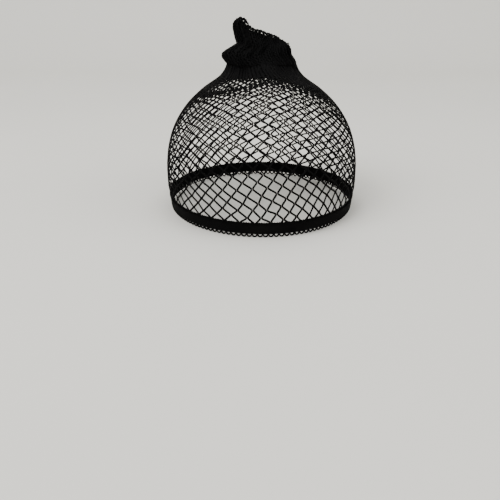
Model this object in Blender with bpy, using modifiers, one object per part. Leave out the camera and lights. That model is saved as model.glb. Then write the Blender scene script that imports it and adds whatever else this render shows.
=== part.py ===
"""A stretch fishnet wig cap in the shape that it takes on a head.

Metres, +Z up. The origin is the centre of the head opening, in the plane of the
picot tips. The face side is -Y and the wearer's left is +X. The pieces are the net
crown, the bunched tail of its tube, the elastic band and the picot edge below it.
"""

import math
from bisect import bisect_left
from collections import namedtuple

import bmesh
import bpy

# The head that the cap is drawn over
HALF_WIDTH = 0.0775
FRONT_LENGTH = 0.096
BACK_LENGTH = 0.098

# Heights, from the picot tips up
PICOT_HEIGHT = 0.0027
BAND_HEIGHT = 0.0085
CROWN_HEIGHT = 0.101
TAIL_HEIGHT = 0.0355

# Walls, and the gap that keeps one piece clear of the next
GAP = 0.0003
NET_WALL = 0.0014
BAND_WALL = 0.0015
PICOT_WALL = 0.0008

# The mesh of the net
COLUMNS = 20
NODE_ROWS = 6
STRAND_WIDTH = 0.0023
HEM_HEIGHT = 0.0016
OPEN_SHARE = 0.88

# The neck, where the net is drawn in below the tail
NECK_HALF_WIDTH = 0.0268
NECK_HALF_DEPTH = 0.025
NECK_SET_BACK = 0.012
GATHER_DEPTH = 0.0009

# The band and its picot loops
BAND_STEPS = 60
BAND_DRAW_IN = 0.0009
BAND_EDGE = 0.0004
PICOT_PITCH = 0.0041

# The bends of the tail's pinched rim
TAIL_SWAY = 0.0058
TAIL_WAVES = 1.5

# The dome's outline at each height. rise is a share of CROWN_HEIGHT, side of HALF_WIDTH,
# front of FRONT_LENGTH and back of BACK_LENGTH, all from the head's axis. middle is where
# the section is widest, as a share of NECK_SET_BACK behind that axis.
Dome = namedtuple("Dome", "rise side front back middle")
DOME = (
    Dome(0.000, 0.992, 0.992, 0.945, 0.00),
    Dome(0.120, 1.000, 1.000, 0.980, 0.00),
    Dome(0.250, 0.999, 1.000, 1.000, 0.00),
    Dome(0.390, 0.974, 0.980, 0.995, 0.00),
    Dome(0.535, 0.911, 0.920, 0.960, 0.02),
    Dome(0.683, 0.788, 0.805, 0.880, 0.07),
    Dome(0.800, 0.629, 0.650, 0.760, 0.20),
    Dome(0.885, 0.457, 0.445, 0.610, 0.50),
    Dome(0.920, 0.398, 0.345, 0.535, 0.70),
    Dome(0.955, 0.363, 0.225, 0.460, 0.90),
    Dome(1.000, NECK_HALF_WIDTH / HALF_WIDTH,
         (NECK_HALF_DEPTH - NECK_SET_BACK) / FRONT_LENGTH,
         (NECK_HALF_DEPTH + NECK_SET_BACK) / BACK_LENGTH, 1.00),
)

# The tail from the neck to its free rim, which slopes down to the wearer's left.
# right and left are shares of NECK_HALF_WIDTH to -X and to +X, right_rise and left_rise
# shares of TAIL_HEIGHT, depth of NECK_HALF_DEPTH, pleat of GATHER_DEPTH and sway of
# TAIL_SWAY.
Tail = namedtuple("Tail", "right left right_rise left_rise depth pleat sway")
TAIL = (
    Tail(1.00, 1.00, 0.00, 0.00, 1.00, 1.0, 0.0),
    Tail(1.00, 1.00, 0.04, 0.04, 1.00, 1.0, 0.0),
    Tail(1.13, 0.87, 0.15, 0.18, 0.88, 1.4, 0.2),
    Tail(1.12, 0.84, 0.25, 0.27, 0.77, 1.4, 0.4),
    Tail(0.94, 0.82, 0.34, 0.34, 0.64, 1.3, 0.6),
    Tail(0.70, 0.79, 0.45, 0.40, 0.50, 1.1, 0.8),
    Tail(0.76, 0.77, 0.66, 0.43, 0.38, 0.8, 1.0),
    Tail(0.80, 0.75, 0.88, 0.46, 0.29, 0.6, 1.0),
    Tail(0.69, 0.73, 1.00, 0.49, 0.24, 0.5, 1.0),
)

# The lower edge of one picot loop, as shares of PICOT_HEIGHT down from the band
PICOT_DROPS = (0.3, 0.95, 0.95)

BAND_BOTTOM = PICOT_HEIGHT + GAP
BAND_TOP = BAND_BOTTOM + BAND_HEIGHT
CROWN_BOTTOM = BAND_TOP + GAP
TAIL_BOTTOM = CROWN_BOTTOM + CROWN_HEIGHT + GAP
GATHER_RINGS = 4
LENGTH_SAMPLES = 720
INK = (0.011, 0.011, 0.012, 1.0)


def clear_scene():
    """Removes whatever the scene holds."""
    for thing in list(bpy.data.objects):
        bpy.data.objects.remove(thing)


def textile(name, roughness):
    """A plain black yarn finish."""
    material = bpy.data.materials.new(name)
    material.use_nodes = True
    shader = material.node_tree.nodes["Principled BSDF"]
    shader.inputs["Base Color"].default_value = INK
    shader.inputs["Roughness"].default_value = roughness
    shader.inputs["Metallic"].default_value = 0.0
    return material


def add_object(name, bm, material):
    """Turns a bmesh into an object of the cap, with its faces pointing out."""
    bmesh.ops.recalc_face_normals(bm, faces=bm.faces)
    mesh = bpy.data.meshes.new(name)
    bm.to_mesh(mesh)
    bm.free()
    mesh.materials.append(material)
    thing = bpy.data.objects.new(name, mesh)
    collection.objects.link(thing)
    return thing


def dome_section(rise):
    """The dome's half width, front, back and widest line at a share of its height."""
    rise = min(max(rise, 0.0), 1.0)
    low = max(k for k, row in enumerate(DOME[:-1]) if row.rise <= rise)
    first, second = DOME[low], DOME[low + 1]
    before, after = DOME[max(low - 1, 0)], DOME[min(low + 2, len(DOME) - 1)]
    span = second.rise - first.rise
    share = (rise - first.rise) / span
    square, cube = share ** 2, share ** 3
    shares = []
    for k in range(1, len(first)):
        slope_in = (second[k] - before[k]) / (second.rise - before.rise) * span
        slope_out = (after[k] - first[k]) / (after.rise - first.rise) * span
        shares.append((2 * cube - 3 * square + 1) * first[k]
                      + (3 * square - 2 * cube) * second[k]
                      + (cube - 2 * square + share) * slope_in
                      + (cube - square) * slope_out)
    side, front, back, middle = shares
    return (side * HALF_WIDTH, front * FRONT_LENGTH, back * BACK_LENGTH,
            middle * NECK_SET_BACK)


def section_point(section, turn, inset=0.0):
    """A point of a section, a turn from the face side and inset from its outside."""
    side, front, back, middle = section
    depth = front + middle if math.cos(turn) > 0 else back - middle
    return (side - inset) * math.sin(turn), middle - (depth - inset) * math.cos(turn)


def crown_point(turn, rise, out=0.0):
    """A point of the crown's outer surface, or a little outside it."""
    x, y = section_point(dome_section(rise), turn, -out)
    return x, y, CROWN_BOTTOM + rise * CROWN_HEIGHT


def evenly(values, points, count):
    """Picks count steps from the values, as even in length along their points."""
    lengths = [0.0]
    for one, two in zip(points, points[1:]):
        lengths.append(lengths[-1] + math.dist(one, two))
    picked = []
    for step in range(count + 1):
        wanted = lengths[-1] * step / count
        after = min(max(bisect_left(lengths, wanted), 1), len(lengths) - 1)
        share = (wanted - lengths[after - 1]) / (lengths[after] - lengths[after - 1])
        picked.append(values[after - 1] + share * (values[after] - values[after - 1]))
    return picked


def even_turns(count):
    """Turns from the face side, evenly spaced round the head opening."""
    turns = [2 * math.pi * k / LENGTH_SAMPLES for k in range(LENGTH_SAMPLES + 1)]
    points = [section_point(dome_section(0.0), turn) for turn in turns]
    return evenly(turns, points, count)[:-1]


def rim_length():
    """The length round the head opening."""
    points = [section_point(dome_section(0.0), turn) for turn in even_turns(LENGTH_SAMPLES)]
    return sum(math.dist(one, two) for one, two in zip(points, points[1:] + points[:1]))


def even_rises(low, high, count):
    """Rises from low to high, evenly spaced up the side of the dome."""
    rises = [low + (high - low) * k / LENGTH_SAMPLES for k in range(LENGTH_SAMPLES + 1)]
    return evenly(rises, [crown_point(math.pi / 2, rise) for rise in rises], count)


def bridge(bm, lower, upper):
    """Faces between two rings of as many points."""
    count = len(lower)
    for k in range(count):
        after = (k + 1) % count
        bm.faces.new((lower[k], lower[after], upper[after], upper[k]))


def closed_wall(bm, rings):
    """A closed wall through rings of points, the last joined to the first."""
    made = [[bm.verts.new(point) for point in ring] for ring in rings]
    for lower, upper in zip(made, made[1:] + made[:1]):
        bridge(bm, lower, upper)


def crown_net(material):
    """The stretched net over the head, from its hem at the band to the drawn-in neck."""
    bm = bmesh.new()
    turns = even_turns(4 * COLUMNS)
    rises = even_rises(HEM_HEIGHT / CROWN_HEIGHT, OPEN_SHARE, 2 * NODE_ROWS)
    top = 2 * NODE_ROWS
    made = {}

    def at(quarter, half_row):
        """The point so many quarter columns round and half rows up."""
        key = (quarter % (4 * COLUMNS), half_row)
        if key not in made:
            made[key] = bm.verts.new(crown_point(turns[key[0]], rises[half_row]))
        return made[key]

    def face(centre, half_row, steps):
        """A face through the points at steps from its centre."""
        return bm.faces.new([at(centre + across, half_row + up) for across, up in steps])

    upper_edge = ((2, 0), (1, 1), (0, 2), (-1, 1), (-2, 0))
    lower_edge = ((-1, -1), (0, -2), (1, -1))
    meshes = []
    for column in range(COLUMNS):
        first = 4 * column
        meshes.append(face(first + 2, 0, ((0, 0),) + upper_edge))
        for row in range(1, NODE_ROWS):
            meshes.append(face(first + 2 * (row % 2 == 0), 2 * row, upper_edge + lower_edge))
        face(first + 2 * (NODE_ROWS % 2 == 0), top, ((2, 0), (0, 0), (-2, 0)) + lower_edge)

    hem_top = [at(quarter, 0) for quarter in range(0, 4 * COLUMNS, 2)]
    bridge(bm, [bm.verts.new(crown_point(turn, 0.0)) for turn in turns[::2]], hem_top)

    lower = [at(quarter, top) for quarter in range(0, 4 * COLUMNS, 2)]
    for rise in even_rises(OPEN_SHARE, 1.0, GATHER_RINGS)[1:]:
        depth = GATHER_DEPTH * (rise - OPEN_SHARE) / (1 - OPEN_SHARE)
        upper = [bm.verts.new(crown_point(turn, rise, depth * math.cos(math.pi * k)))
                 for k, turn in enumerate(turns[::2])]
        bridge(bm, lower, upper)
        lower = upper

    bmesh.ops.recalc_face_normals(bm, faces=bm.faces)
    bmesh.ops.inset_individual(bm, faces=meshes, thickness=STRAND_WIDTH / 2,
                               use_even_offset=True)
    bmesh.ops.delete(bm, geom=meshes, context="FACES_ONLY")
    thing = add_object("crown_net", bm, material)
    wall = thing.modifiers.new("wall", "SOLIDIFY")
    wall.thickness = NET_WALL
    wall.offset = -1.0
    wall.use_even_offset = True
    return thing


def tail_ring(row, inset):
    """One section of the tail, drawn in by inset, and by more across its bends."""
    right = row.right * NECK_HALF_WIDTH - inset
    left = row.left * NECK_HALF_WIDTH - inset
    half_width = (left + right) / 2
    bend = row.sway * TAIL_SWAY
    steepness = math.pi * TAIL_WAVES * bend / half_width
    half_depth = row.depth * NECK_HALF_DEPTH - inset * math.hypot(1.0, steepness)
    half_rise = (row.left_rise - row.right_rise) / 2
    ring = []
    for k, turn in enumerate(even_turns(2 * COLUMNS)):
        across = math.sin(turn)
        pleat = row.pleat * GATHER_DEPTH * math.cos(math.pi * k)
        x = (left - right) / 2 + (half_width + pleat) * across
        sway = bend * math.sin(math.pi * TAIL_WAVES * across)
        y = NECK_SET_BACK - (half_depth + pleat) * math.cos(turn) + sway
        rise = row.right_rise + half_rise * (1 + across)
        ring.append((x, y, TAIL_BOTTOM + rise * TAIL_HEIGHT))
    return ring


def tail(material):
    """The loose end of the net's tube, pinched flat towards its sloping rim."""
    bm = bmesh.new()
    outside = [tail_ring(row, 0.0) for row in TAIL]
    inside = [tail_ring(row, NET_WALL) for row in reversed(TAIL)]
    closed_wall(bm, outside + inside)
    return add_object("tail", bm, material)


def rim_ring(turns, inset, heights):
    """Points round the head opening at heights that repeat, drawn in towards the face."""
    section = dome_section(0.0)
    ring = []
    for k, turn in enumerate(turns):
        height = heights[k % len(heights)]
        draw_in = BAND_DRAW_IN * (BAND_TOP - height) / BAND_HEIGHT
        ring.append((*section_point(section, turn, inset + draw_in), height))
    return ring


def elastic_band(material):
    """The woven elastic that grips the head, with eased outer edges."""
    bm = bmesh.new()
    profile = (
        (BAND_EDGE, BAND_BOTTOM), (0.0, BAND_BOTTOM + BAND_EDGE),
        (0.0, BAND_TOP - BAND_EDGE), (BAND_EDGE, BAND_TOP),
        (BAND_WALL, BAND_TOP), (BAND_WALL, BAND_BOTTOM),
    )
    turns = even_turns(BAND_STEPS)
    closed_wall(bm, [rim_ring(turns, inset, (height,)) for inset, height in profile])
    return add_object("elastic_band", bm, material)


def picot_edge(material):
    """The row of small loops under the band, as one strip with a scalloped lower edge."""
    bm = bmesh.new()
    turns = even_turns(round(rim_length() / PICOT_PITCH) * len(PICOT_DROPS))
    tips = [PICOT_HEIGHT * (1 - drop / max(PICOT_DROPS)) for drop in PICOT_DROPS]
    outer = (BAND_WALL - PICOT_WALL) / 2
    inner = outer + PICOT_WALL
    closed_wall(bm, [
        rim_ring(turns, outer, (PICOT_HEIGHT,)),
        rim_ring(turns, outer, tips),
        rim_ring(turns, inner, tips),
        rim_ring(turns, inner, (PICOT_HEIGHT,)),
    ])
    return add_object("picot_edge", bm, material)


clear_scene()
collection = bpy.data.collections.new("wig_cap")
bpy.context.scene.collection.children.link(collection)
net_yarn = textile("net_yarn", 0.75)
band_yarn = textile("band_yarn", 0.85)
crown_net(net_yarn)
tail(net_yarn)
elastic_band(band_yarn)
picot_edge(band_yarn)
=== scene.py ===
"""The looks of a stretch fishnet wig cap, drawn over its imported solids.

The net is made of chain-stitched yarn that runs from the band to the tail, as a knitting
machine lays it. Metres, +Z up, the face side is -Y and the wearer's left is +X.
"""

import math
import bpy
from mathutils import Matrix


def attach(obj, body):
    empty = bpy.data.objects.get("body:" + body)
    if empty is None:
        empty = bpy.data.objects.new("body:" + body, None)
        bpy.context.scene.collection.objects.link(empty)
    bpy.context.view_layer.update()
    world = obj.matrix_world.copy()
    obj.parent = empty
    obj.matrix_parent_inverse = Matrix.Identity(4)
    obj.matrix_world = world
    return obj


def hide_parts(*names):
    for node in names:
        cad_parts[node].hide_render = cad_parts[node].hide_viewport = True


bl_info = {
    "name": "Fishnet wig cap",
    "version": (1, 0, 0),
    "blender": (4, 5, 0),
    "location": "3D View > Sidebar > Wig Cap",
    "description": "Chain-stitched net, bunched tail, woven elastic band and picot loops",
    "category": "Add Mesh",
}

from collections import namedtuple
from functools import partial

import bpy
import numpy as np

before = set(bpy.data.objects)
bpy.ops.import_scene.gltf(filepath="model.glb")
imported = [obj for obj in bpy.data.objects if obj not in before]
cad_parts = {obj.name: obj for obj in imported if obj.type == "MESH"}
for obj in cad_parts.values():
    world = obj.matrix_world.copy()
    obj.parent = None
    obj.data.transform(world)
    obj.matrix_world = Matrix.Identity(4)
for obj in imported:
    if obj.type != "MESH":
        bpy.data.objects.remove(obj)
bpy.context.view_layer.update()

# The solids' own sizes, which the yarns follow
HALF_WIDTH = 0.0775
FRONT_LENGTH = 0.096
BACK_LENGTH = 0.098
PICOT_HEIGHT = 0.0027
BAND_HEIGHT = 0.0085
CROWN_HEIGHT = 0.101
TAIL_HEIGHT = 0.0355
GAP = 0.0003
BAND_WALL = 0.0015
BAND_EDGE = 0.0004
BAND_DRAW_IN = 0.0009
NECK_HALF_WIDTH = 0.0268
NECK_HALF_DEPTH = 0.025
NECK_SET_BACK = 0.012
GATHER_DEPTH = 0.0009
GATHER_START = 0.88
PLEATS = 20
TAIL_SWAY = 0.0058
TAIL_WAVES = 1.5
RIM_DROP = 0.0025
CREASE_WANDER = 0.0021
CREASE_REACH = 0.075
BAND_BOTTOM = PICOT_HEIGHT + GAP
BAND_TOP = BAND_BOTTOM + BAND_HEIGHT
CROWN_BOTTOM = BAND_TOP + GAP
TAIL_BOTTOM = CROWN_BOTTOM + CROWN_HEIGHT + GAP

# The dome's outline: rise is a share of CROWN_HEIGHT, side of HALF_WIDTH, front of
# FRONT_LENGTH, back of BACK_LENGTH and middle of NECK_SET_BACK.
Dome = namedtuple("Dome", "rise side front back middle")
DOME = (
    Dome(0.000, 0.992, 0.992, 0.945, 0.00),
    Dome(0.120, 1.000, 1.000, 0.980, 0.00),
    Dome(0.250, 0.999, 1.000, 1.000, 0.00),
    Dome(0.390, 0.974, 0.980, 0.995, 0.00),
    Dome(0.535, 0.911, 0.920, 0.960, 0.02),
    Dome(0.683, 0.788, 0.805, 0.880, 0.07),
    Dome(0.800, 0.629, 0.650, 0.760, 0.20),
    Dome(0.885, 0.464, 0.445, 0.610, 0.50),
    Dome(0.920, 0.412, 0.345, 0.535, 0.70),
    Dome(0.955, 0.376, 0.225, 0.460, 0.90),
    Dome(1.000, NECK_HALF_WIDTH / HALF_WIDTH,
         (NECK_HALF_DEPTH - NECK_SET_BACK) / FRONT_LENGTH,
         (NECK_HALF_DEPTH + NECK_SET_BACK) / BACK_LENGTH, 1.00),
)

# The tail from neck to rim: right and left are shares of NECK_HALF_WIDTH, the rises of
# TAIL_HEIGHT, depth of NECK_HALF_DEPTH, pleat of GATHER_DEPTH and sway of TAIL_SWAY.
Tail = namedtuple("Tail", "climb right left right_rise left_rise depth pleat sway")
TAIL = (
    Tail(0.000, 1.00, 1.00, 0.00, 0.00, 1.00, 1.0, 0.0),
    Tail(0.125, 1.05, 0.99, 0.04, 0.04, 1.00, 1.0, 0.0),
    Tail(0.250, 1.13, 0.87, 0.15, 0.18, 0.88, 1.4, 0.2),
    Tail(0.375, 1.12, 0.84, 0.25, 0.27, 0.77, 1.4, 0.4),
    Tail(0.500, 0.94, 0.82, 0.34, 0.34, 0.64, 1.3, 0.6),
    Tail(0.625, 0.70, 0.79, 0.45, 0.40, 0.50, 1.1, 0.8),
    Tail(0.750, 0.78, 0.77, 0.66, 0.43, 0.38, 0.8, 1.0),
    Tail(0.875, 0.84, 0.75, 0.88, 0.46, 0.29, 0.6, 1.0),
    Tail(1.000, 0.73, 0.73, 1.00, 0.49, 0.24, 0.5, 1.0),
)

# The tail's rim from its high side, across -1, to its low side: how far it drops below a
# straight slant, in shares of RIM_DROP.
Rim = namedtuple("Rim", "across drop")
RIM = (
    Rim(-1.00, 1.00),
    Rim(-0.91, -0.35),
    Rim(-0.79, -0.70),
    Rim(-0.65, -0.60),
    Rim(-0.52, 0.50),
    Rim(-0.28, 0.80),
    Rim(-0.10, 0.45),
    Rim(0.25, 0.37),
    Rim(0.48, 0.05),
    Rim(0.78, 0.15),
    Rim(1.00, 0.45),
)

# The mesh of the net, in rows of joints from the tail's rim down to the band. up is the way
# up: 0 at the band, 1 at the neck and 2 at the rim of the tail. spread gathers the columns
# towards the face, skew towards the quarters, drift turns them round in columns, sag lowers
# the sides, lean tilts the quarters, fullness thickens the yarn and stray unsettles it.
Net = namedtuple("Net", "row up spread skew drift sag lean fullness stray")
NET = (
    Net(-65, 2.000, 0.000, 0.000, -2.900, 0.000, 0.000, 1.00, 2.0),
    Net(-63, 1.915, 0.010, 0.000, -2.840, 0.000, 0.000, 0.96, 2.2),
    Net(-61, 1.830, 0.030, 0.000, -2.780, 0.000, 0.000, 1.10, 2.4),
    Net(-58, 1.700, 0.050, 0.000, -2.700, 0.000, 0.000, 1.12, 2.6),
    Net(-49, 1.320, 0.080, 0.000, -2.400, 0.000, 0.000, 1.20, 2.6),
    Net(-43, 1.060, 0.100, 0.000, -2.150, 0.000, 0.000, 1.38, 1.8),
    Net(-41, 1.005, 0.110, 0.000, -2.080, 0.000, 0.000, 1.48, 1.6),
    Net(-36, 0.968, 0.140, 0.040, -1.900, 0.030, 0.000, 1.50, 1.4),
    Net(-30, 0.926, 0.230, 0.100, -1.680, 0.060, 0.000, 1.50, 1.2),
    Net(-25, 0.886, 0.310, 0.160, -1.480, 0.085, 0.003, 1.55, 1.0),
    Net(-21, 0.817, 0.287, 0.333, -1.339, 0.071, 0.032, 1.50, 1.0),
    Net(-17, 0.795, 0.371, 0.291, -1.212, 0.124, 0.025, 1.36, 1.0),
    Net(-13, 0.734, 0.233, 0.253, -1.074, 0.119, 0.029, 1.14, 1.0),
    Net(-9, 0.649, 0.099, 0.231, -0.949, 0.126, 0.038, 1.00, 1.0),
    Net(-5, 0.547, -0.004, 0.140, -0.760, 0.103, 0.039, 1.00, 1.0),
    Net(-1, 0.434, -0.083, 0.097, -0.531, 0.090, 0.036, 1.00, 1.0),
    Net(3, 0.309, -0.115, 0.043, -0.215, 0.054, 0.028, 1.08, 1.0),
    Net(7, 0.183, -0.146, -0.041, 0.237, 0.028, 0.018, 1.17, 1.2),
    Net(10, 0.083, -0.163, -0.075, 0.617, -0.009, 0.018, 1.22, 1.8),
    Net(13, -0.026, -0.134, -0.118, 0.894, 0.012, 0.012, 1.25, 1.8),
    Net(16, -0.140, -0.160, -0.060, 1.050, 0.000, 0.000, 1.25, 1.0),
)

# Where the net is drawn out of its even lie: the row and column, the rows and columns over
# which the draw fades, and how far it goes aside and up, in shares of PULL_SIZE.
Pull = namedtuple("Pull", "row column reach aside lift")
PULLS = (
    Pull(-9, -13, 5, -0.23, -0.50),
    Pull(-9, -7, 5, -1.40, 1.16),
    Pull(-9, -1, 5, -0.51, 0.87),
    Pull(-9, 5, 5, 1.39, -1.49),
    Pull(-9, 11, 5, 0.06, -0.10),
    Pull(-1, -13, 5, -0.14, 0.26),
    Pull(-1, -7, 5, -2.01, 0.83),
    Pull(-1, -1, 5, -0.47, 0.31),
    Pull(-1, 5, 5, 1.89, -0.35),
    Pull(-1, 11, 5, 0.60, -0.79),
    Pull(7, -13, 5, 0.29, 0.58),
    Pull(7, -7, 5, -0.56, -0.42),
    Pull(7, -1, 5, -0.33, -0.58),
    Pull(7, 5, 5, 0.46, 0.71),
    Pull(7, 11, 5, 0.59, 0.40),
    Pull(11, -3, 3.2, 1.11, -1.62),
)
PULL_SIZE = 0.001

# The columns of joints from the middle of the face to the middle of the back, and the seed
# of the joints' strays
COLUMNS = 44
SEED = 11

# A joint of two chains: how far apart they lie at its ends, as a share of its middle, the
# most that it takes of the room between columns and rows, and its shortest and longest
JOINT_PINCH = 0.8
JOINT_MOST_WIDE = 0.46
JOINT_MOST_TALL = 0.30
JOINT_SHORTEST = 0.5
JOINT_LONGEST = 1.2

# The laps that tie a joint, from its top to its foot, in shares of its half width and length
Lap = namedtuple("Lap", "aside rise")
LAPS = (
    Lap(-1.0, 0.90),
    Lap(0.9, 0.45),
    Lap(-0.9, 0.00),
    Lap(0.9, -0.45),
    Lap(-1.0, -0.90),
)

# Ways up the cap: where the net starts, how far it goes to come clear of the band, where the
# laps end, and where the folded plies of the neck and the tail start and end
BAND_SUNK = -0.018
BAND_CLEAR = 0.05
LAPS_END = 0.85
NECK_FOLD = 0.865
NECK_FOLD_END = 1.05
TAIL_FOLD = 1.04
TAIL_FOLD_END = 1.925

# How far round the folded plies lie from the outer one, in columns
NECK_SHIFT = 0.7
TAIL_SHIFTS = (0.6, 1.3, 0.3)

# Waves round the cap: their number, slant up the tail, start and size
Wave = namedtuple("Wave", "number slant start size")
RUFFLES = (
    Wave(13, 1.1, 0.0, 1.0),
    Wave(29, -2.3, 1.3, 0.7),
)
CREASES = (
    Wave(3, 0.0, math.pi / 2, 0.6),
    Wave(4, 0.0, 0.0, 0.5),
    Wave(7, 0.0, math.pi / 2, 0.4),
)

# The band's web: its steps round the head, the share of its height that its edges round
# off, the pitch of its weft, and the size, reach and beats of the ripple in its top
WEB_STEPS = 420
WEB_EDGE = 0.1
WEFT_PITCH = 0.0011
RIPPLE_SIZE = 0.00012
RIPPLE_REACH = 0.0012
RIPPLES = (97, 5)

# The picot loops: their number and steps, how far their feet round out, how much higher they
# hang at the sides, how far they reach into the band, and how wide the yarn along their
# heads is beside theirs
PICOT_LOOPS = 131
PICOT_STEPS = 14
PICOT_ROUND = 0.15
PICOT_TUCK = 0.0008
PICOT_OVERLAP = 0.0001
PICOT_BASE = 0.6

# The steps round the head opening, the steps over which the slopes of the cloth, the band
# and the rim are read, and the least area that two slopes span, as a share of a square's
RING_STEPS = 720
SLOPE_STEP = 0.0008
BAND_STEP = 0.001
RIM_STEP = 0.01
LEAST_AREA = 0.05

# The yarns: the slant of their stitches, their plies, the depth of their relief and the
# scale of their dye's patches
Yarn = namedtuple("Yarn", "name slant plies relief patch_scale")
NET_YARN = Yarn("stitched_nylon", 0.5, 2.0, 0.00018, 60.0)
BAND_YARN = Yarn("covered_yarn", 0.7, 1.0, 0.00012, 45.0)

# The dye: the contrast and start of its dull patches, and how far its roughness swings
DYE_CONTRAST = 3.2
DYE_START = -0.35
DYE_SWING = 0.24

# The studio: the cove's outline from the side, the lamps and the height that they face, and
# the camera
COVE_FRONT = -2.4
COVE_MIDDLE = 0.5
COVE_FOOT = 0.9
COVE_RADIUS = 0.5
COVE_TOP = 2.6
COVE_HALF_WIDTH = 2.6
COVE_STEPS = 24
Lamp = namedtuple("Lamp", "name power size place")
LAMPS = (
    Lamp("key", "key_power", 1.3, (-1.0, -0.9, 1.5)),
    Lamp("fill", "fill_power", 1.5, (1.5, -0.6, 0.9)),
    Lamp("top", "fill_power", 1.2, (0.1, 0.5, 1.9)),
)
LAMP_AIM = 0.08
CAMERA_PLACE = (-0.0094, -0.576, BAND_TOP + 0.162)
CAMERA_PITCH = 20.8


# Shapes of the cap

def smooth(rows, values):
    """Reads the columns of a table smoothly, at values of its first column."""
    table = np.array(rows, dtype=float)
    knots, columns = table[:, 0], table[:, 1:]
    values = np.clip(values, knots[0], knots[-1])
    low = np.clip(np.searchsorted(knots, values, side="right") - 1, 0, len(knots) - 2)
    before, after = np.maximum(low - 1, 0), np.minimum(low + 2, len(knots) - 1)
    span = (knots[low + 1] - knots[low])[..., None]
    share = (values - knots[low])[..., None] / span
    slope_in, slope_out = (
        (columns[far] - columns[near]) * span / (knots[far] - knots[near])[..., None]
        for near, far in ((before, low + 1), (low, after)))
    square, cube = share ** 2, share ** 3
    read = ((2 * cube - 3 * square + 1) * columns[low]
            + (3 * square - 2 * cube) * columns[low + 1]
            + (cube - 2 * square + share) * slope_in + (cube - square) * slope_out)
    return np.moveaxis(read, -1, 0)


def section_point(rise, turn, out):
    """Plan position on the dome's section at a rise, out from its surface."""
    side, front, back, middle = smooth(DOME, rise)
    side, middle = side * HALF_WIDTH, middle * NECK_SET_BACK
    depth = np.where(np.cos(turn) > 0, front * FRONT_LENGTH + middle,
                     back * BACK_LENGTH - middle)
    return (side + out) * np.sin(turn), middle - (depth + out) * np.cos(turn)


def rim_table():
    """Turns round the head opening, and the share of its length that each has come."""
    turns = np.linspace(0.0, 2 * math.pi, RING_STEPS + 1)
    x, y = section_point(np.zeros_like(turns), turns, 0.0)
    lengths = np.concatenate([[0.0], np.cumsum(np.hypot(np.diff(x), np.diff(y)))])
    return turns, lengths / lengths[-1], lengths[-1]


RIM_TURNS, RIM_SHARES, RIM_LENGTH = rim_table()


def turn_at(share):
    """The turn from the face side, at a share of the length round the opening."""
    return np.interp(share % 1.0, RIM_SHARES, RIM_TURNS)


def stack(x, y, z):
    """Points from their coordinates."""
    return np.stack(np.broadcast_arrays(x, y, z), axis=-1)


def size(ways):
    """How long moves are."""
    return np.linalg.norm(ways, axis=-1)


def unit(ways):
    """Directions of length one."""
    return ways / size(ways)[..., None]


def waves(table, share, climb=0.0):
    """The sum of a table's waves, at a share round the cap and a climb up the tail."""
    return sum(wave.size * np.sin(2 * math.pi * (wave.number * share + wave.slant * climb)
                                  + wave.start) for wave in table)


def dome_point(share, rise):
    """A point of the crown's outer surface, pleated towards the neck."""
    gather = np.clip((rise - GATHER_START) / (1 - GATHER_START), 0.0, 1.0)
    out = GATHER_DEPTH * gather * np.cos(2 * math.pi * PLEATS * share)
    x, y = section_point(rise, turn_at(share), out)
    return stack(x, y, CROWN_BOTTOM + rise * CROWN_HEIGHT)


def tail_point(share, climb, inset):
    """A point of the tail, with its pleats and its pinched, bent rim, or inset from it."""
    right, left, right_rise, left_rise, depth, pleat, sway = smooth(TAIL, climb)
    turn = turn_at(share)
    across = np.sin(turn)
    right, left = right * NECK_HALF_WIDTH - inset, left * NECK_HALF_WIDTH - inset
    ruffle = bpy.context.scene.wig_cap_tail.ruffle * climb
    pleat = (pleat * GATHER_DEPTH * np.cos(2 * math.pi * PLEATS * share)
             + ruffle * waves(RUFFLES, share, climb))
    x = (left - right) / 2 + ((left + right) / 2 + pleat) * across
    y = (NECK_SET_BACK - (depth * NECK_HALF_DEPTH - inset + pleat) * np.cos(turn)
         + sway * TAIL_SWAY * np.sin(TAIL_WAVES * math.pi * across))
    rise = right_rise + (left_rise - right_rise) / 2 * (1 + across)
    drop, = smooth(RIM, across)
    return stack(x, y, TAIL_BOTTOM + rise * TAIL_HEIGHT - RIM_DROP * sway * drop)


def crease_lift(share, rise):
    """How far the crease between the neck and the tail wanders up or down."""
    near = np.exp(-((rise - 1.0) / CREASE_REACH) ** 2)
    return CREASE_WANDER * waves(CREASES, share) * near


def band_point(share, height, out):
    """A point at a height of the band, out from its face, and drawn in towards its foot."""
    draw_in = BAND_DRAW_IN * (BAND_TOP - height) / BAND_HEIGHT
    x, y = section_point(np.zeros_like(share), turn_at(share), out - draw_in)
    return stack(x, y, height)


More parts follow.
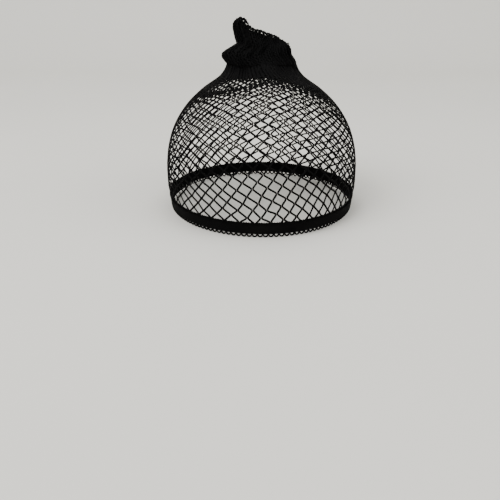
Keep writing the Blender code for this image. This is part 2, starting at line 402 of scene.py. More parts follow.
class Cloth:
    """The cap's surface, or one inset from it at the tail, read by the share round it and
    the way up it, which is even in length up the crown and again up the tail."""

    round_steps, up_steps = 180, 240

    def __init__(self, inset=0.0):
        self.inset = inset
        shares = np.linspace(0.0, 1.0, self.round_steps + 1)[:, None]
        level = np.linspace(0.0, 1.0, self.up_steps + 1)
        tables = []
        for start in (0.0, 1.0):
            grid = self.point(shares, start + level[None, :])
            steps = size(np.diff(grid, axis=1))
            lengths = np.insert(np.cumsum(steps, axis=1), 0, 0.0, axis=1)
            tables.append([start + np.interp(level, row / row[-1], level) for row in lengths])
        self.rises = np.concatenate([np.array(tables[0])[:, :-1], tables[1]], axis=1)

    def point(self, share, rise):
        """A point of the crown up to a rise of 1, or of the tail from there to 2."""
        crown = dome_point(share, np.minimum(rise, 1.0))
        tail = tail_point(share, np.clip(rise - 1.0, 0.0, 1.0), self.inset)
        point = np.where(np.asarray(rise)[..., None] <= 1.0, crown, tail)
        return point + stack(0.0, 0.0, crease_lift(share, rise))

    def at(self, share, up):
        """Points of the surface."""
        inside = np.clip(up, 0.0, 2.0)
        across, along = (share % 1.0) * self.round_steps, inside * self.up_steps
        i = np.minimum(across.astype(int), self.round_steps - 1)
        j = np.minimum(along.astype(int), 2 * self.up_steps - 1)
        a, b = across - i, along - j
        table = self.rises
        rise = ((1 - a) * ((1 - b) * table[i, j] + b * table[i, j + 1])
                + a * ((1 - b) * table[i + 1, j] + b * table[i + 1, j + 1]))
        return self.point(share, rise + (up - inside))

    def slopes(self, share, up):
        """How a point moves for a unit of share and a unit of up."""
        up = np.minimum(up, 2.0 - SLOPE_STEP)
        round_way = self.at(share + SLOPE_STEP, up) - self.at(share - SLOPE_STEP, up)
        up_way = self.at(share, up + SLOPE_STEP) - self.at(share, up - SLOPE_STEP)
        return round_way / (2 * SLOPE_STEP), up_way / (2 * SLOPE_STEP)

    def outward(self, share, up):
        """The direction that faces out of the surface."""
        return unit(np.cross(*self.slopes(share, up)))


# Yarns

def joint_places(rows, columns, rng):
    """Where the joints of the net lie, as shares round and ways up, with the fullness."""
    up, spread, skew, drift, sag, lean, fullness, stray = smooth(NET, rows)
    turn = math.pi * columns / COLUMNS
    share = (columns / 2 + drift) / COLUMNS + (spread * np.sin(turn)
                                               + skew * np.sin(turn) ** 2) / (2 * math.pi)
    up = up + sag * (np.cos(4 * math.pi * share) - 1) / 2 + lean * np.sin(4 * math.pi * share)
    for pull in PULLS:
        far = np.hypot(rows - pull.row, columns - pull.column) / pull.reach
        near = PULL_SIZE * np.exp(-far ** 2)
        share = share + pull.aside * near / RIM_LENGTH
        up = up + pull.lift * near / CROWN_HEIGHT
    stray = stray * bpy.context.scene.wig_cap_net.unevenness
    share = share + stray / RIM_LENGTH * rng.normal(size=share.shape)
    up = up + stray / CROWN_HEIGHT * rng.normal(size=up.shape)
    return share, up, fullness


def on_cloth(move, round_way, up_way):
    """A short move along the cloth, as the share round and the way up that it covers."""
    across, along = (move * round_way).sum(-1), (move * up_way).sum(-1)
    wide, tall = (round_way ** 2).sum(-1), (up_way ** 2).sum(-1)
    slant = (round_way * up_way).sum(-1)
    area = np.maximum(wide * tall - slant ** 2, LEAST_AREA * wide * tall)
    return (across * tall - along * slant) / area, (along * wide - across * slant) / area


def past_joint(middle, aside, down):
    """The waypoints of a chain at a joint: above its middle, beside it and below it."""
    near = JOINT_PINCH * aside
    return np.stack([middle + near - down, middle + aside, middle + near + down], axis=1)


def round_yarn(centre, out, width, twist):
    """A strand of one width, with how far its twist comes on at each step."""
    half = np.full(len(centre), width / 2)
    return centre, out, half, half, np.arange(len(centre)) * twist


class Knit:
    """The net laid on a cloth: its joints, and how far the yarns lie apart at each."""

    def __init__(self, cloth, shift=0.0, sunk=0.0):
        self.net = net = bpy.context.scene.wig_cap_net
        self.cloth, self.sunk = cloth, sunk
        self.rows = np.arange(NET[0].row, NET[-1].row + 1)
        columns, rows = np.meshgrid(np.arange(-COLUMNS, COLUMNS + 1.0), self.rows * 1.0)
        rng = np.random.default_rng(SEED)
        share, up, full = joint_places(rows, columns + shift, rng)
        share[:, -1], up[:, -1] = share[:, 0] + 1.0, up[:, 0]
        round_way, up_way = cloth.slopes(share, up)
        pitch = np.abs(np.gradient(share, axis=1)) * size(round_way)
        spacing = np.abs(np.gradient(up, axis=0)) * size(up_way)
        self.share, self.up, self.full = share, up, full
        aside, down, spread = self.joint_axes()
        apart = np.minimum(net.joint_gap / 2 * full, JOINT_MOST_WIDE * pitch)
        half = net.joint_length / 2
        reach = np.clip(JOINT_PINCH * apart / spread, JOINT_SHORTEST * half,
                        JOINT_LONGEST * half)
        reach = np.minimum(reach, JOINT_MOST_TALL * spacing)
        self.aside = on_cloth(aside * apart[..., None], round_way, up_way)
        self.down = on_cloth(down * reach[..., None], round_way, up_way)

    def joint_axes(self):
        """The ways across and down each joint, midway between the yarns that meet there."""
        place = self.cloth.at(self.share, self.up)[:, :-1]
        place = np.concatenate([place[:1], place, place[-1:]])
        left, right = np.roll(place, 1, axis=1), np.roll(place, -1, axis=1)
        falling, rising = unit(right[2:] - left[:-2]), unit(left[2:] - right[:-2])
        aside, down = falling - rising, falling + rising
        axes = unit(aside), unit(down), size(aside) / size(down)
        return [np.concatenate([axis, axis[:, :1]], axis=1) for axis in axes]

    def chains(self):
        """The chains of stitches, each swinging between the joints of two columns."""
        strands = []
        order = np.arange(len(self.rows))
        for chain in range(2 * COLUMNS):
            right_side = (chain - COLUMNS + self.rows) % 2 == 1
            here = (order, chain + np.where(right_side, 0, 1))
            side = np.where(right_side, 1.0, -1.0)
            middles = self.share[here], self.up[here]
            share, up = (past_joint(middle, side * aside[here], down[here])
                         for middle, aside, down in zip(middles, self.aside, self.down))
            full = self.full[here]
            waist = full * self.net.joint_waist + np.maximum(full - 1.0, 0.0)
            waist = np.minimum(full, waist)
            full = np.stack([full, waist, full], axis=1)
            strands.append(self.stitched(share.ravel(), up.ravel(), full.ravel()))
        return strands

    def stitched(self, share, up, full):
        """One chain through its waypoints, its bends eased, in steps of half a stitch."""
        net = self.net
        legs = size(np.diff(self.cloth.at(share, up), axis=0))
        steps = np.maximum(1, np.round(legs / (net.stitch_length / 2))).astype(int)
        way = np.insert(np.cumsum(legs), 0, 0.0)
        knots = np.insert(np.cumsum(steps), 0, 0)
        distance = np.interp(np.arange(knots[-1] + 1), knots, way)
        share, up, full = (np.interp(distance, way, column) for column in (share, up, full))
        for bent in (share, up):
            bent[1:-1] = 0.5 * bent[1:-1] + 0.25 * (bent[2:] + bent[:-2])
        swell = 1.0 + net.stitch_relief * np.where(np.arange(len(share)) % 2, 1.0, -1.0)
        half_width = net.yarn_width / 2 * full * swell
        half_depth = net.yarn_depth / 2 * (2.0 - swell)
        centre, out = self.raised(share, up)
        return up, (centre, out, half_width, half_depth, distance / net.stitch_length)

    def raised(self, share, up):
        """Where a yarn's middle runs on the cloth or under the band, and the way out."""
        out = self.cloth.outward(share, up)
        clear = np.clip(up / BAND_CLEAR, 0.0, 1.0) - 0.5
        height = self.net.yarn_depth * clear - self.sunk
        return self.cloth.at(share, up) + out * height[:, None], out

    def laps(self):
        """The thin laps that cross between two chains where they are joined."""
        (aside, lift), (drift, drop) = self.aside, self.down
        across, rise = np.array(LAPS).T
        columns = np.arange(-COLUMNS, COLUMNS)
        strands = []
        for k, row in enumerate(self.rows):
            for column in columns[(columns + row) % 2 == 1] + COLUMNS:
                here = (k, column)
                if BAND_SUNK < self.up[here] < LAPS_END:
                    share = self.share[here] + across * aside[here] - rise * drift[here]
                    up = self.up[here] + across * lift[here] - rise * drop[here]
                    centre, out = self.raised(share, up)
                    strands.append(round_yarn(centre, out, self.net.lap_width, twist=0.5))
        return strands


def cut(chains, low, high):
    """The length of each chain between two ways up the cap."""
    lengths = []
    for up, strand in chains:
        inside = np.flatnonzero((up >= low) & (up <= high))
        if len(inside) > 1:
            lengths.append([column[inside[0]:inside[-1] + 2] for column in strand])
    return lengths


def new_piece(name, points, faces, material, marks=None):
    """A smooth object of one material, with the texture's marks at its faces' corners."""
    mesh = bpy.data.meshes.new(name)
    mesh.from_pydata(points, [], faces)
    if marks is not None:
        mesh.uv_layers.new(name="UVMap").data.foreach_set("uv", marks)
    mesh.shade_smooth()
    mesh.materials.append(material)
    thing = bpy.data.objects.new(name, mesh)
    bpy.context.scene.collection.objects.link(thing)
    return thing


def yarn_object(name, strands, sides, material, closed=False):
    """One object of many yarns, each a tube with the section that its strand gives."""
    corners, faces, marks = [], [], []
    first = 0
    side = np.arange(sides)
    after = (side + 1) % sides
    angles = 2 * math.pi * (side + 0.5) / sides
    for centre, out, half_width, half_depth, stitches in strands:
        count = len(centre)
        if closed:
            along = unit(np.roll(centre, -1, axis=0) - np.roll(centre, 1, axis=0))
        else:
            along = unit(np.gradient(centre, axis=0))
        across = unit(np.cross(out, along))
        upward = np.cross(along, across)
        ring = (centre[:, None]
                + (half_width[:, None] * np.cos(angles))[..., None] * across[:, None]
                + (half_depth[:, None] * np.sin(angles))[..., None] * upward[:, None])
        corners.append(ring.reshape(-1, 3))
        low = np.arange(count if closed else count - 1)[:, None]
        high = (low + 1) % count
        quads = np.stack([low * sides + side, low * sides + after,
                          high * sides + after, high * sides + side], axis=-1)
        faces += (first + quads).reshape(-1, 4).tolist()
        near = np.repeat(stitches[low], sides)
        far = near + (stitches[1] - stitches[0])
        left = np.tile(side / sides, len(low))
        right = left + 1.0 / sides
        places = np.stack([near, left, near, right, far, right, far, left], axis=-1)
        marks.append(places.ravel())
        if not closed:
            faces.append((first + side[::-1]).tolist())
            faces.append((first + (count - 1) * sides + side).tolist())
            marks.append(np.zeros(4 * sides))
        first += count * sides
    return new_piece(name, np.concatenate(corners).tolist(), faces, material,
                     np.concatenate(marks))


def seat(thing, slot, *nodes):
    """Fixes a piece to the cap, in place of the solids that it dresses."""
    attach(thing, "root")
    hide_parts(*nodes)


# Finishes

def fill(tree, node, values):
    """Gives a node's inputs their plain values, or their links from other nodes."""
    for label, value in values.items():
        if isinstance(value, bpy.types.NodeSocket):
            tree.links.new(value, node.inputs[label])
        else:
            node.inputs[label].default_value = value


def new_node(tree, kind, values, **settings):
    """A shader node with its settings, and the values or links of its inputs."""
    node = tree.nodes.new(f"ShaderNode{kind}")
    for name, value in settings.items():
        setattr(node, name, value)
    fill(tree, node, values)
    return node


def calculate(tree, operation, *values):
    """A maths step of a node tree, on links or plain values."""
    return new_node(tree, "Math", dict(enumerate(values)), operation=operation).outputs[0]


def noise(tree, place, scale, detail):
    """The value of a noise texture at a place."""
    values = {"Vector": place, "Scale": scale, "Detail": detail}
    return new_node(tree, "TexNoise", values).outputs["Fac"]


def mix_colours(tree, share, first, second):
    """A blend from one colour to another by a share."""
    values = {"Factor": share, "A": first, "B": second}
    return new_node(tree, "Mix", values, data_type="RGBA").outputs["Result"]


def split(tree, vector):
    """The two texture coordinates of a vector."""
    parts = new_node(tree, "SeparateXYZ", {0: vector}).outputs
    return parts["X"], parts["Y"]


def new_group(name, inputs, outputs):
    """A shader node group with named sockets, and its input and output nodes."""
    tree = bpy.data.node_groups.new(name, "ShaderNodeTree")
    for label, kind, *value in inputs:
        socket = tree.interface.new_socket(
            name=label, in_out="INPUT", socket_type=f"NodeSocket{kind}")
        if value:
            socket.default_value = value[0]
    for label, kind in outputs:
        tree.interface.new_socket(
            name=label, in_out="OUTPUT", socket_type=f"NodeSocket{kind}")
    return tree, tree.nodes.new("NodeGroupInput"), tree.nodes.new("NodeGroupOutput")


def dye_group():
    """Uneven black dye: patches of a deeper and of a duller colour, and their roughness."""
    name = "uneven dye"
    if name in bpy.data.node_groups:
        return bpy.data.node_groups[name]
    tree, given, made = new_group(
        name,
        (("Place", "Vector"), ("Deep", "Color"), ("Dull", "Color"),
         ("Patch scale", "Float", 60.0), ("Roughness", "Float", 0.7)),
        (("Colour", "Color"), ("Roughness", "Float")))
    given = given.outputs
    patches = noise(tree, given["Place"], given["Patch scale"], detail=4.0)
    fine = noise(tree, given["Place"], scale=2200.0, detail=2.0)
    both = calculate(tree, "MULTIPLY", patches, fine)
    share = calculate(tree, "MULTIPLY_ADD", both, DYE_CONTRAST, DYE_START)
    share.node.use_clamp = True
    swing = calculate(tree, "MULTIPLY_ADD", fine, DYE_SWING, -DYE_SWING / 2)
    fill(tree, made, {
        "Colour": mix_colours(tree, share, given["Deep"], given["Dull"]),
        "Roughness": calculate(tree, "ADD", given["Roughness"], swing)})
    return tree


def stitch_group():
    """The relief of a stitched or plied yarn, from its length in stitches and its girth."""
    name = "stitched yarn"
    if name in bpy.data.node_groups:
        return bpy.data.node_groups[name]
    tree, given, made = new_group(
        name,
        (("Yarn", "Vector"), ("Slant", "Float", 0.5), ("Plies", "Float", 2.0),
         ("Fibre", "Float", 0.35)),
        (("Height", "Float"),))
    given = given.outputs
    run, girth = split(tree, given["Yarn"])
    folded = calculate(tree, "MULTIPLY", girth, given["Plies"])
    folded = calculate(tree, "PINGPONG", folded, 0.5)
    slanted = calculate(tree, "MULTIPLY", folded, given["Slant"])
    phase = calculate(tree, "ADD", run, slanted)
    wave = calculate(tree, "SINE", calculate(tree, "MULTIPLY", phase, 2 * math.pi))
    loops = calculate(tree, "MULTIPLY_ADD", wave, 0.5, 0.5)
    stretched = new_node(tree, "VectorMath", {0: given["Yarn"], 1: (0.6, 4.0, 1.0)},
                         operation="MULTIPLY").outputs[0]
    fibres = noise(tree, stretched, scale=9.0, detail=3.0)
    hair = calculate(tree, "MULTIPLY", fibres, given["Fibre"])
    fill(tree, made, {"Height": calculate(tree, "ADD", loops, hair)})
    return tree


def new_material(name):
    """A new material, its nodes, its shader and its texture coordinates."""
    material = bpy.data.materials.new(name)
    material.use_nodes = True
    tree = material.node_tree
    return (material, tree, tree.nodes["Principled BSDF"],
            new_node(tree, "TexCoord", {}).outputs)


def dyed_cloth(name, patch_scale, rougher=0.0):
    """A matte black textile with uneven dye, before its relief."""
    finish = bpy.context.scene.wig_cap_finish
    material, tree, shader, place = new_material(name)
    dye = new_node(tree, "Group", {
        "Place": place["Object"], "Deep": (*finish.deep, 1.0), "Dull": (*finish.dull, 1.0),
        "Patch scale": patch_scale, "Roughness": finish.roughness + rougher,
    }, node_tree=dye_group()).outputs
    fill(tree, shader, {
        "Base Color": dye["Colour"], "Roughness": dye["Roughness"], "Metallic": 0.0,
        "Specular IOR Level": finish.gloss, "Sheen Weight": finish.sheen,
        "Sheen Roughness": 0.45})
    return material, tree, shader, place


def raise_relief(tree, shader, height, strength, depth):
    """Bumps a textile's surface by a height."""
    values = {"Height": height, "Strength": strength, "Distance": depth}
    fill(tree, shader, {"Normal": new_node(tree, "Bump", values).outputs["Normal"]})


def yarn_material(yarn):
    """A stitched yarn, whose relief follows each strand."""
    if yarn.name in bpy.data.materials:
        return bpy.data.materials[yarn.name]
    material, tree, shader, place = dyed_cloth(yarn.name, yarn.patch_scale)
    values = {"Yarn": place["UV"], "Slant": yarn.slant, "Plies": yarn.plies}
    stitches = new_node(tree, "Group", values, node_tree=stitch_group()).outputs
    raise_relief(tree, shader, stitches["Height"], strength=0.8, depth=yarn.relief)
    return material


def web_material():
    """Woven elastic: covered rubber threads round the head, bound by a fine weft."""
    material, tree, shader, place = dyed_cloth("elastic_web", patch_scale=35.0, rougher=0.1)
    run, rise = split(tree, place["UV"])
    warp = calculate(tree, "MULTIPLY", rise, math.pi)
    weft = calculate(tree, "MULTIPLY", run, math.pi)
    over = calculate(tree, "MULTIPLY", calculate(tree, "SINE", warp),
                     calculate(tree, "SINE", weft))
    ribs = calculate(tree, "ABSOLUTE", calculate(tree, "COSINE", warp))
    woven = calculate(tree, "MULTIPLY_ADD", over, 0.45, ribs)
    fuzz = noise(tree, place["Object"], scale=5200.0, detail=3.0)
    height = calculate(tree, "MULTIPLY_ADD", fuzz, 0.5, woven)
    raise_relief(tree, shader, height, strength=0.7, depth=0.00016)
    return material


# Settings: their kinds first, which are lengths in metres, shares and colours

length = partial(bpy.props.FloatProperty, subtype="DISTANCE", precision=5)
factor = partial(bpy.props.FloatProperty, subtype="FACTOR", min=0.0)
colour = partial(bpy.props.FloatVectorProperty, subtype="COLOR", size=3, min=0.0, max=1.0)


class WigCapNet(bpy.types.PropertyGroup):
    yarn_width: length(
        name="Yarn width", description="Width of a stretched chain of stitches",
        default=0.00134, min=0.0004, max=0.002)
    yarn_depth: length(
        name="Yarn depth", description="Thickness of a chain, through the cloth",
        default=0.00078, min=0.0003, max=0.0014)
    stitch_length: length(
        name="Stitch length", description="Length of one stitch of a chain",
        default=0.0017, min=0.0008, max=0.004)
    stitch_relief: factor(
        name="Stitch relief", description="How much a chain swells at each stitch",
        default=0.11, max=0.3)
    joint_length: length(
        name="Joint length", description="Length over which two chains lie side by side",
        default=0.0013, min=0.0006, max=0.004)
    joint_waist: factor(
        name="Joint waist", description="Width of a chain at a joint, as a share of the rest",
        default=0.50, min=0.3, max=1.0)
    joint_gap: length(
        name="Joint spacing", description="Distance between the chains of a joint",
        default=0.00118, min=0.0008, max=0.002)
    lap_width: length(
        name="Lap width", description="Width of the laps that tie a joint",
        default=0.00030, min=0.0001, max=0.0006)
    unevenness: length(
        name="Unevenness", description="How far the joints stray from an even net",
        default=0.00016, min=0.0, max=0.0006)


class WigCapTail(bpy.types.PropertyGroup):
    ruffle: length(
        name="Ruffle", description="Depth of the small ruffles at the tail's rim",
        default=0.00055, min=0.0, max=0.002)
    ply_gap: length(
        name="Ply gap", description="How far the folded-in ply lies behind the outer one",
        default=0.0010, min=0.0006, max=0.004)
    scallop: length(
        name="Scallop", description="Height of the scallops along the tail's free edge",
        default=0.0009, min=0.0, max=0.003)
    rim_yarn: length(
        name="Rim yarn", description="Width of the yarn along the tail's free edge",
        default=0.0010, min=0.0004, max=0.002)


class WigCapBand(bpy.types.PropertyGroup):
    ribs: bpy.props.IntProperty(
        name="Ribs", description="Covered rubber threads across the band",
        default=9, min=2, max=16)
    rib_depth: length(
        name="Rib depth", description="Depth of the grooves between the ribs",
        default=0.00012, min=0.0, max=0.0004)
    stitch_pitch: length(
        name="Stitch pitch", description="Distance between the stitches that hold the net",
        default=0.0019, min=0.001, max=0.005)
    stitch_width: length(
        name="Stitch width", description="Width of the thread that holds the net",
        default=0.00034, min=0.0001, max=0.0008)
    picot_yarn: length(
        name="Picot yarn", description="Width of the yarn of the picot loops",
        default=0.00126, min=0.0004, max=0.0014)
    picot_bulge: length(
        name="Picot bulge", description="How far a loop rounds out beyond a plain wave",
        default=0.00034, min=0.0, max=0.0015)


class WigCapFinish(bpy.types.PropertyGroup):
    deep: colour(
        name="Deep black", description="Colour where the dye is deepest",
        default=(0.0012, 0.0012, 0.0013))
    dull: colour(
        name="Dull black", description="Colour where the dye is thinner",
        default=(0.0038, 0.0037, 0.0037))
    roughness: factor(
        name="Roughness", description="How matte the yarn is",
        default=0.74, max=1.0)
    gloss: factor(
        name="Gloss", description="Strength of the nylon's shine",
        default=0.035, max=1.0)
    sheen: factor(
        name="Sheen", description="Soft light caught by loose fibres",
        default=0.0, max=1.0)


class WigCapStage(bpy.types.PropertyGroup):
    floor_colour: colour(
        name="Floor colour", description="Colour of the floor and backdrop",
        default=(0.66, 0.65, 0.61))
    key_power: bpy.props.FloatProperty(
        name="Key light", description="Power of the large light at the upper left",
        default=40.0, min=0.0, max=500.0, subtype="POWER")
    fill_power: bpy.props.FloatProperty(
        name="Fill light", description="Power of the light at the right",
        default=14.0, min=0.0, max=500.0, subtype="POWER")
    surround: bpy.props.FloatProperty(
        name="Surround", description="Strength of the light from all round",
        default=0.8, min=0.0, max=5.0)


# Pieces

class WIGCAP_OT_crown_net(bpy.types.Operator):
    """Knit the stretched net of the crown"""

    bl_idname = "wigcap.crown_net"
    bl_label = "Crown Net"

    def execute(self, context):
        yarn = yarn_material(NET_YARN)
        knit = Knit(Cloth())
        strands = cut(knit.chains(), BAND_SUNK, 1.0)
        quarter = COLUMNS // 2
        under = Knit(knit.cloth, NECK_SHIFT, context.scene.wig_cap_tail.ply_gap)
        pieces = (
            ("net_chains_face", strands[quarter:3 * quarter], 6),
            ("net_chains_nape", strands[:quarter] + strands[3 * quarter:], 6),
            ("net_joint_laps", knit.laps(), 4),
            ("neck_folded_ply", cut(under.chains(), NECK_FOLD, NECK_FOLD_END), 5),
        )
        for name, lengths, sides in pieces:
            seat(yarn_object(name, lengths, sides, yarn), "net_yarn", "crown_net")
        return {"FINISHED"}


class WIGCAP_OT_tail(bpy.types.Operator):
    """Knit the bunched tail, in an outer ply and plies folded into it"""

    bl_idname = "wigcap.tail"
    bl_label = "Tail"

    def execute(self, context):
        tail = context.scene.wig_cap_tail
        yarn = yarn_material(NET_YARN)
        cloth = Cloth()
        outer = cut(Knit(cloth).chains(), 1.0, 2.0)
        seat(yarn_object("tail_outer_ply", outer, 6, yarn), "net_yarn", "tail")
        for ply, shift in enumerate(TAIL_SHIFTS, start=1):
            knit = Knit(Cloth(ply * tail.ply_gap), shift)
            folded = cut(knit.chains(), TAIL_FOLD, TAIL_FOLD_END)
            seat(yarn_object(f"tail_folded_ply_{ply}", folded, 5, yarn), "net_yarn", "tail")
        rim = yarn_object("tail_rim_yarn", [self.rim(tail, cloth)], 6, yarn, closed=True)
        seat(rim, "net_yarn", "tail")
        return {"FINISHED"}

    def rim(self, tail, cloth):
        """The last course of loops, which scallops the free edge."""
        steps = 8 * COLUMNS
        share = np.arange(steps) / steps
        wave = np.cos(2 * math.pi * (COLUMNS * share - NET[0].drift))
        up = 2.0 + tail.scallop / TAIL_HEIGHT * (wave - 1) / 2
        out = cloth.outward(share, up - RIM_STEP)
        centre = cloth.at(share, up) - out * tail.rim_yarn / 2
        return round_yarn(centre, out, tail.rim_yarn, twist=0.6)


class WIGCAP_OT_band(bpy.types.Operator):
    """Weave the elastic band and stitch the net to its top edge"""

    bl_idname = "wigcap.band"
    bl_label = "Elastic Band"

    def execute(self, context):
        band = context.scene.wig_cap_band
        seat(self.web(band), "band_yarn", "elastic_band")
        yarn = yarn_material(BAND_YARN)
        seat(self.stitches(band, yarn), "band_yarn", "elastic_band")
        return {"FINISHED"}

    def web(self, band):
        """The ribbed band, closed round the head opening."""
        levels = np.linspace(0.0, 1.0, 5 * band.ribs + 1)
        groove = band.rib_depth * (1 + np.cos(2 * math.pi * band.ribs * levels)) / 2
        edge = np.clip((np.abs(2 * levels - 1) - (1 - WEB_EDGE)) / WEB_EDGE, 0.0, 1.0)
        round_off = BAND_EDGE * (1 - np.sqrt(1 - edge ** 2))
        heights = BAND_BOTTOM + BAND_HEIGHT * levels
        outside = np.column_stack([-groove - round_off, heights])
        inside = np.column_stack([groove - BAND_WALL + round_off, heights])[::-1]
        profile = np.concatenate([outside, inside])
        shares = np.arange(WEB_STEPS) / WEB_STEPS
        beats = [np.sin(2 * math.pi * number * shares) for number in RIPPLES]
        ripple = RIPPLE_SIZE * beats[0] * beats[1]
        lift = np.clip((profile[:, 1] - BAND_TOP) / RIPPLE_REACH + 1, 0.0, 1.0)
        heights = profile[None, :, 1] + lift * ripple[:, None]
        points = band_point(np.broadcast_to(shares[:, None], heights.shape), heights,
                            profile[None, :, 0])
        count = len(profile)
        low, side = np.arange(WEB_STEPS)[:, None], np.arange(count)
        high, after = (low + 1) % WEB_STEPS, (side + 1) % count
        quads = np.stack([low * count + side, high * count + side,
                          high * count + after, low * count + after], axis=-1)
        around = np.cumsum(size(np.roll(profile, -1, 0) - profile))
        around = np.concatenate([[0.0], around]) / (BAND_HEIGHT / band.ribs)
        turn = RIM_LENGTH / WEB_STEPS / WEFT_PITCH * np.arange(WEB_STEPS + 1)[:, None]
        left, right, bottom, top = np.broadcast_arrays(turn[:-1], turn[1:], around[:-1],
                                                       around[1:])
        marks = np.stack([left, bottom, right, bottom, right, top, left, top], axis=-1)
        return new_piece("elastic_web", points.reshape(-1, 3).tolist(),
                         quads.reshape(-1, 4).tolist(), web_material(), marks.ravel())

    def stitches(self, band, yarn):
        """The zigzag thread over the band's top edge, which holds the foot of the net."""
        Turn = namedtuple("Turn", "along rise out")
        reach = band.stitch_width / 2
        back = -BAND_WALL
        turns = (
            Turn(0.00, -0.0015, reach),
            Turn(0.10, -0.0014, reach),
            Turn(0.22, -0.0006, reach),
            Turn(0.30, 0.4 * reach, 0.2 * reach),
            Turn(0.38, reach, -0.0004),
            Turn(0.46, reach, back + 0.0004),
            Turn(0.54, 0.0, back - reach),
            Turn(0.62, reach, back + 0.0004),
            Turn(0.70, reach, -0.0004),
            Turn(0.78, 0.4 * reach, 0.2 * reach),
            Turn(0.90, -0.0008, reach),
        )
        repeat = (*turns, turns[0]._replace(along=1.0))
        zigzag = [(k, *turn) for k, turn in enumerate(repeat)]
        steps = np.arange(0.0, len(turns), 0.5)
        along, rise, out = smooth(zigzag, steps)
        count = round(RIM_LENGTH / band.stitch_pitch)
        share = (np.arange(count)[:, None] + along).ravel() / count
        height = np.tile(BAND_TOP + rise, count)
        out = np.tile(out, count)
        centre = band_point(share, height, out)
        ahead = band_point(share + BAND_STEP, height, out)
        way = unit(ahead - band_point(share - BAND_STEP, height, out))
        thread = round_yarn(centre, way, band.stitch_width, twist=0.25)
        return yarn_object("band_stitches", [thread], 5, yarn, closed=True)


class WIGCAP_OT_picots(bpy.types.Operator):
    """Loop the picot edge along the foot of the band"""

    bl_idname = "wigcap.picots"
    bl_label = "Picot Edge"

    def execute(self, context):
        band = context.scene.wig_cap_band
        yarn = yarn_material(BAND_YARN)
        half = band.picot_yarn / 2
        turn = 2 * math.pi * np.arange(PICOT_LOOPS * PICOT_STEPS) / PICOT_STEPS
        share = (turn / (2 * math.pi * PICOT_LOOPS)
                 - band.picot_bulge * np.sin(turn) / RIM_LENGTH)
        foot = half + PICOT_TUCK * np.sin(2 * math.pi * share) ** 2
        head = BAND_BOTTOM + PICOT_OVERLAP
        swing = (1 + np.cos(turn)) / 2 - PICOT_ROUND * np.sin(turn) ** 2
        loops = self.strand(share, foot + (head - foot) * swing, band.picot_yarn,
                            twist=3.0 / PICOT_STEPS)
        share = np.arange(RING_STEPS) / RING_STEPS
        height = np.full(RING_STEPS, BAND_BOTTOM - PICOT_OVERLAP)
        base = self.strand(share, height, PICOT_BASE * band.picot_yarn, twist=0.6)
        edge = yarn_object("picot_loops", [loops, base], 6, yarn, closed=True)
        seat(edge, "band_yarn", "picot_edge")
        return {"FINISHED"}

    def strand(self, share, height, width, twist):
        """A round yarn along the foot of the band, under the middle of its wall."""
        centre = band_point(share, height, -BAND_WALL / 2)
        out = unit(band_point(share, height, 0.01) - band_point(share, height, 0.0))
        return round_yarn(centre, out, width, twist)


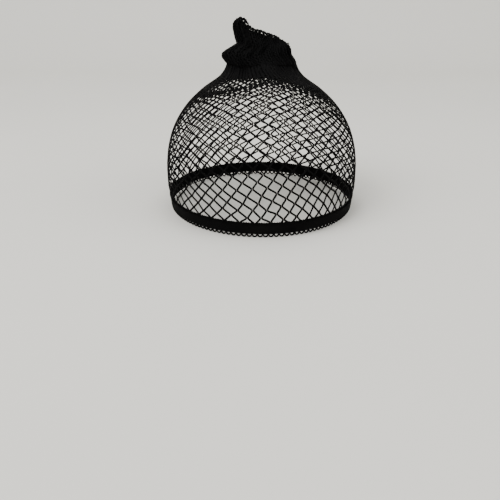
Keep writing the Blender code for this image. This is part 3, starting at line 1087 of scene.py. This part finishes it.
class WIGCAP_OT_stage(bpy.types.Operator):
    """Set the pale floor and backdrop, the soft studio light and the camera"""

    bl_idname = "wigcap.stage"
    bl_label = "Stage"

    def execute(self, context):
        stage = context.scene.wig_cap_stage
        self.cove(stage)
        self.lights(context, stage)
        self.camera(context)
        return {"FINISHED"}

    def cove(self, stage):
        """A floor that sweeps up into a backdrop behind the cap."""
        rise = np.linspace(0.0, math.pi / 2, COVE_STEPS)
        depth = [COVE_FRONT, COVE_MIDDLE, *(COVE_FOOT + COVE_RADIUS * np.sin(rise)),
                 COVE_FOOT + COVE_RADIUS]
        height = [0.0, 0.0, *(COVE_RADIUS * (1 - np.cos(rise))), COVE_TOP]
        points = [(x, y, z) for y, z in zip(depth, height)
                  for x in (-COVE_HALF_WIDTH, COVE_HALF_WIDTH)]
        faces = [(2 * k, 2 * k + 1, 2 * k + 3, 2 * k + 2) for k in range(len(depth) - 1)]
        material, tree, shader, place = new_material("studio_paper")
        grain = noise(tree, place["Object"], scale=3.0, detail=5.0)
        darker, lighter = ((*[shade * part for part in stage.floor_colour], 1.0)
                           for shade in (0.96, 1.04))
        fill(tree, shader, {
            "Base Color": mix_colours(tree, grain, darker, lighter),
            "Roughness": calculate(tree, "MULTIPLY_ADD", grain, 0.1, 0.8),
            "Specular IOR Level": 0.2})
        new_piece("studio_cove", points, faces, material)

    def lights(self, context, stage):
        """Large soft lights from the upper left, the right and above."""
        for kind in LAMPS:
            data = bpy.data.lights.new(kind.name, "AREA")
            data.energy = getattr(stage, kind.power)
            data.size = kind.size
            lamp = bpy.data.objects.new(kind.name, data)
            lamp.location = kind.place
            away = lamp.location.copy()
            away.z -= LAMP_AIM
            lamp.rotation_euler = away.to_track_quat("Z", "Y").to_euler()
            context.scene.collection.objects.link(lamp)
        world = bpy.data.worlds.new("studio")
        world.use_nodes = True
        fill(world.node_tree, world.node_tree.nodes["Background"],
             {"Color": (1.0, 0.99, 0.965, 1.0), "Strength": stage.surround})
        context.scene.world = world

    def camera(self, context):
        """The camera in front of the face side, a little above the crown."""
        data = bpy.data.cameras.new("camera")
        data.sensor_width = 36.0
        data.lens = 50.4
        data.clip_start = 0.02
        camera = bpy.data.objects.new("camera", data)
        camera.location = CAMERA_PLACE
        camera.rotation_euler = (math.radians(90.0 - CAMERA_PITCH), 0.0, 0.0)
        context.scene.collection.objects.link(camera)
        context.scene.camera = camera


class VIEW3D_PT_wig_cap(bpy.types.Panel):
    """Pieces and settings of the wig cap"""

    bl_label = "Wig Cap"
    bl_space_type = "VIEW_3D"
    bl_region_type = "UI"
    bl_category = "Wig Cap"

    def draw(self, context):
        for operator in OPERATORS:
            self.layout.operator(operator.bl_idname)
        for name, group in SETTINGS.items():
            box = self.layout.box()
            settings = getattr(context.scene, name)
            for key in group.__annotations__:
                box.prop(settings, key)


SETTINGS = {
    "wig_cap_net": WigCapNet,
    "wig_cap_tail": WigCapTail,
    "wig_cap_band": WigCapBand,
    "wig_cap_finish": WigCapFinish,
    "wig_cap_stage": WigCapStage,
}
OPERATORS = (WIGCAP_OT_crown_net, WIGCAP_OT_tail, WIGCAP_OT_band, WIGCAP_OT_picots,
             WIGCAP_OT_stage)
CLASSES = (*SETTINGS.values(), *OPERATORS, VIEW3D_PT_wig_cap)


def register():
    for piece in CLASSES:
        bpy.utils.register_class(piece)
    for name, group in SETTINGS.items():
        setattr(bpy.types.Scene, name, bpy.props.PointerProperty(type=group))


def unregister():
    for name in SETTINGS:
        delattr(bpy.types.Scene, name)
    for piece in reversed(CLASSES):
        bpy.utils.unregister_class(piece)


def main():
    register()
    bpy.ops.wigcap.crown_net()
    bpy.ops.wigcap.tail()
    bpy.ops.wigcap.band()
    bpy.ops.wigcap.picots()
    bpy.ops.wigcap.stage()


if __name__ == "__main__":
    main()
